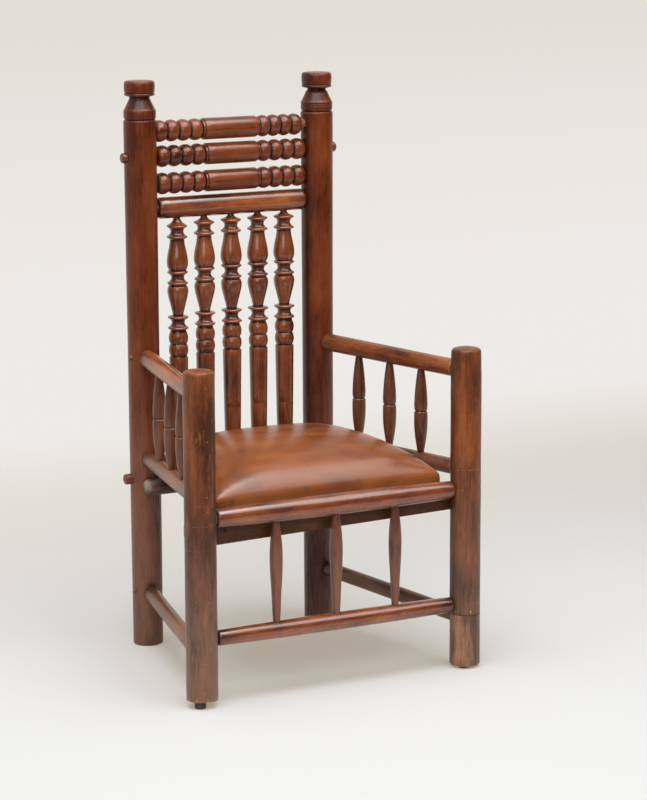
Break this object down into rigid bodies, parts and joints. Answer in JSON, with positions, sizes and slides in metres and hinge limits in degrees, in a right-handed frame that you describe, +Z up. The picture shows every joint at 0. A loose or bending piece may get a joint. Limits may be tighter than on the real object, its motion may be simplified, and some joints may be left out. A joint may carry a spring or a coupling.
{
  "type": "turned armchair",
  "caption": "Turner's armchair of round posts, rails and spindles joined by round tenons, with beaded crest rails and a crowned leather slip seat that lifts out.",
  "frame": {"origin": "on the floor, under the centre of the chair's box", "axes": "+Z up, the chair faces -Y, +X is to the right as seen from the front"},
  "size_m": [0.6504, 0.526, 1.1714],
  "materials": {
    "dark_wood": "polished reddish brown, darkened with age",
    "worn_wood": "polished reddish brown, worn and scuffed",
    "foot_wood": "plain brown, coarse grain",
    "plain_wood": "unfinished",
    "leather": "satin, mottled tan",
    "webbing": "woven jute",
    "glide": "matt dark",
    "nail": "dull",
    "screw": "dull, darkened"
  },
  "bodies": {
    "frame": {"rear_post_left": "dark_wood", "rear_post_right": "dark_wood", "front_post_left": "worn_wood", "front_post_right": "worn_wood", "front_right_foot": "foot_wood", "foot_nail": "nail", "glide_left": "glide", "glide_right": "glide", "mortise_plug": "dark_wood", "crest_rail_top": "dark_wood", "crest_rail_middle": "dark_wood", "crest_rail_lower": "dark_wood", "spindle_rail": "dark_wood", "rear_seat_rail": "dark_wood", "back_spindle_1": "dark_wood", "back_spindle_2": "dark_wood", "back_spindle_3": "dark_wood", "back_spindle_4": "dark_wood", "back_spindle_5": "dark_wood", "arm_left": "worn_wood", "arm_right": "worn_wood", "arm_spindle_left_1": "worn_wood", "arm_spindle_left_2": "worn_wood", "arm_spindle_left_3": "worn_wood", "arm_spindle_right_1": "worn_wood", "arm_spindle_right_2": "worn_wood", "arm_spindle_right_3": "worn_wood", "side_seat_rail_left": "worn_wood", "side_seat_rail_right": "worn_wood", "side_stretcher_left": "worn_wood", "side_stretcher_right": "worn_wood", "arm_pin_left": "worn_wood", "arm_pin_right": "worn_wood", "stretcher_pin_left": "worn_wood", "stretcher_pin_right": "worn_wood", "front_seat_rail": "dark_wood", "front_stretcher": "dark_wood", "front_spindle_1": "worn_wood", "front_spindle_2": "worn_wood", "front_spindle_3": "worn_wood", "rear_bearer": "worn_wood", "front_bearer": "dark_wood", "rear_bearer_screw_left": "screw", "rear_bearer_screw_right": "screw", "front_bearer_screw_left": "screw", "front_bearer_screw_right": "screw"},
    "seat": {"seat_frame_front": "plain_wood", "seat_frame_rear": "plain_wood", "seat_frame_left": "plain_wood", "seat_frame_right": "plain_wood", "webbing_deep_1": "webbing", "webbing_deep_2": "webbing", "webbing_deep_3": "webbing", "webbing_across_1": "webbing", "webbing_across_2": "webbing", "webbing_across_3": "webbing", "leather_seat": "leather"}
  },
  "joints": [
    {"name": "seat_lift", "type": "slide", "parent": "frame", "child": "seat", "axis": [0, 0, 1], "range_m": [0, 0.32]}
  ]
}
